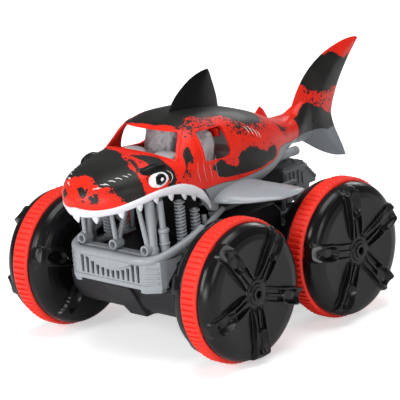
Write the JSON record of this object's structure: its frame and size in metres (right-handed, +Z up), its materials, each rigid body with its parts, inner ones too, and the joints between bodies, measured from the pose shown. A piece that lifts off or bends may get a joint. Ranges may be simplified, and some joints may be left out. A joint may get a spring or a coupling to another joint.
{
  "type": "rc stunt car",
  "caption": "Amphibious radio-controlled stunt car with a shark-shaped shell, toothed open mouth, fins, geared hull and large paddle-faced wheels that spin on fixed axles.",
  "frame": {"origin": "on the ground under the middle of the overall bounding box", "axes": "+Y towards the tail, along the car; +X towards the car's left side; +Z up"},
  "size_m": [0.2034, 0.3038, 0.1784],
  "materials": {
    "shell_red": "red body plastic, printed in matt black over much of it",
    "plastic_black": "matt black",
    "plastic_grey": "satin grey",
    "plastic_pale_grey": "glossy pale grey",
    "plastic_white": "satin white",
    "plastic_dark_grey": "dark grey",
    "hull_black": "blue-black, fine grain",
    "wheel_black": "glossy black",
    "tread_red": "bright red ribbed soft tread",
    "steel": "plain steel",
    "gear_natural": "natural nylon",
    "board_green": "circuit board",
    "cell_blue": "shrink sleeve",
    "seal_rubber": "black seal"
  },
  "bodies": {
    "chassis": {"body_shell": "shell_red", "belly_shell": "plastic_grey", "jaw_trim": "plastic_white", "dorsal_fin": "plastic_black", "rear_dorsal_fin": "shell_red", "tail_fin": "plastic_black", "pectoral_fin_left": "plastic_pale_grey", "pectoral_fin_right": "plastic_pale_grey", "cabin_interior": "plastic_grey", "front_bumper": "plastic_grey", "front_cage": "plastic_grey", "strut_set_left": "plastic_grey", "strut_set_right": "plastic_grey", "side_frame_left": "plastic_dark_grey", "side_frame_right": "plastic_dark_grey", "rear_deck": "plastic_dark_grey", "hull_lower": "hull_black", "hull_upper": "hull_black", "battery_cover": "hull_black", "battery_cover_screw": "steel", "battery_pack": "cell_blue", "receiver_board": "board_green", "power_switch_body": "plastic_black", "axle_seal_front_left": "seal_rubber", "axle_seal_rear_left": "seal_rubber", "drive_motor_left": "steel", "axle_seal_front_right": "seal_rubber", "axle_seal_rear_right": "seal_rubber", "drive_motor_right": "steel"},
    "power_switch": {"power_switch_knob": "plastic_black"},
    "wheel_front_left": {"wheel_front_left_outer_shell": "wheel_black", "wheel_front_left_inner_shell": "wheel_black", "wheel_front_left_tread": "tread_red", "wheel_front_left_screw": "steel", "output_gear_front_left": "gear_natural"},
    "wheel_rear_left": {"wheel_rear_left_outer_shell": "wheel_black", "wheel_rear_left_inner_shell": "wheel_black", "wheel_rear_left_tread": "tread_red", "wheel_rear_left_screw": "steel", "output_gear_rear_left": "gear_natural"},
    "idler_front_left": {"idler_gear_front_left": "gear_natural"},
    "idler_middle_left": {"idler_gear_middle_left": "gear_natural"},
    "idler_rear_left": {"idler_gear_rear_left": "gear_natural"},
    "compound_left": {"compound_gear_left": "gear_natural"},
    "pinion_left": {"motor_pinion_left": "steel"},
    "wheel_front_right": {"wheel_front_right_outer_shell": "wheel_black", "wheel_front_right_inner_shell": "wheel_black", "wheel_front_right_tread": "tread_red", "wheel_front_right_screw": "steel", "output_gear_front_right": "gear_natural"},
    "wheel_rear_right": {"wheel_rear_right_outer_shell": "wheel_black", "wheel_rear_right_inner_shell": "wheel_black", "wheel_rear_right_tread": "tread_red", "wheel_rear_right_screw": "steel", "output_gear_rear_right": "gear_natural"},
    "idler_front_right": {"idler_gear_front_right": "gear_natural"},
    "idler_middle_right": {"idler_gear_middle_right": "gear_natural"},
    "idler_rear_right": {"idler_gear_rear_right": "gear_natural"},
    "compound_right": {"compound_gear_right": "gear_natural"},
    "pinion_right": {"motor_pinion_right": "steel"}
  },
  "joints": [
    {"name": "power_switch_slide", "type": "slide", "parent": "chassis", "child": "power_switch", "axis": [0, 1, 0], "range_m": [-0.002, 0.002]},
    {"name": "wheel_front_left_spin", "type": "hinge", "parent": "chassis", "child": "wheel_front_left", "pos_m": [0.0805, -0.08562, 0.05], "axis": [1, 0, 0], "continuous": true},
    {"name": "wheel_rear_left_spin", "type": "hinge", "parent": "chassis", "child": "wheel_rear_left", "pos_m": [0.0805, 0.02238, 0.05], "axis": [1, 0, 0], "continuous": true},
    {"name": "idler_front_left_spin", "type": "hinge", "parent": "chassis", "child": "idler_front_left", "pos_m": [0.0465, -0.05862, 0.05], "axis": [1, 0, 0], "continuous": true},
    {"name": "idler_middle_left_spin", "type": "hinge", "parent": "chassis", "child": "idler_middle_left", "pos_m": [0.0465, -0.03162, 0.05], "axis": [1, 0, 0], "continuous": true},
    {"name": "idler_rear_left_spin", "type": "hinge", "parent": "chassis", "child": "idler_rear_left", "pos_m": [0.0465, -0.00462, 0.05], "axis": [1, 0, 0], "continuous": true},
    {"name": "compound_left_spin", "type": "hinge", "parent": "chassis", "child": "compound_left", "pos_m": [0.0434, -0.03162, 0.0725], "axis": [1, 0, 0], "continuous": true},
    {"name": "pinion_left_spin", "type": "hinge", "parent": "chassis", "child": "pinion_left", "pos_m": [0.0403, -0.01602, 0.0725], "axis": [1, 0, 0], "continuous": true},
    {"name": "wheel_front_right_spin", "type": "hinge", "parent": "chassis", "child": "wheel_front_right", "pos_m": [-0.0805, -0.08562, 0.05], "axis": [1, 0, 0], "continuous": true},
    {"name": "wheel_rear_right_spin", "type": "hinge", "parent": "chassis", "child": "wheel_rear_right", "pos_m": [-0.0805, 0.02238, 0.05], "axis": [1, 0, 0], "continuous": true},
    {"name": "idler_front_right_spin", "type": "hinge", "parent": "chassis", "child": "idler_front_right", "pos_m": [-0.0465, -0.05862, 0.05], "axis": [1, 0, 0], "continuous": true},
    {"name": "idler_middle_right_spin", "type": "hinge", "parent": "chassis", "child": "idler_middle_right", "pos_m": [-0.0465, -0.03162, 0.05], "axis": [1, 0, 0], "continuous": true},
    {"name": "idler_rear_right_spin", "type": "hinge", "parent": "chassis", "child": "idler_rear_right", "pos_m": [-0.0465, -0.00462, 0.05], "axis": [1, 0, 0], "continuous": true},
    {"name": "compound_right_spin", "type": "hinge", "parent": "chassis", "child": "compound_right", "pos_m": [-0.0434, -0.03162, 0.0725], "axis": [1, 0, 0], "continuous": true},
    {"name": "pinion_right_spin", "type": "hinge", "parent": "chassis", "child": "pinion_right", "pos_m": [-0.0403, -0.01602, 0.0725], "axis": [1, 0, 0], "continuous": true}
  ],
  "couplings": [
    {"joint": "wheel_rear_left_spin", "follows": "wheel_front_left_spin", "ratio": 1},
    {"joint": "idler_front_left_spin", "follows": "wheel_front_left_spin", "ratio": -1},
    {"joint": "idler_middle_left_spin", "follows": "wheel_front_left_spin", "ratio": 1},
    {"joint": "idler_rear_left_spin", "follows": "wheel_front_left_spin", "ratio": -1},
    {"joint": "compound_left_spin", "follows": "wheel_front_left_spin", "ratio": -1.5},
    {"joint": "pinion_left_spin", "follows": "wheel_front_left_spin", "ratio": 3.375},
    {"joint": "wheel_rear_right_spin", "follows": "wheel_front_right_spin", "ratio": 1},
    {"joint": "idler_front_right_spin", "follows": "wheel_front_right_spin", "ratio": -1},
    {"joint": "idler_middle_right_spin", "follows": "wheel_front_right_spin", "ratio": 1},
    {"joint": "idler_rear_right_spin", "follows": "wheel_front_right_spin", "ratio": -1},
    {"joint": "compound_right_spin", "follows": "wheel_front_right_spin", "ratio": -1.5},
    {"joint": "pinion_right_spin", "follows": "wheel_front_right_spin", "ratio": 3.375}
  ]
}
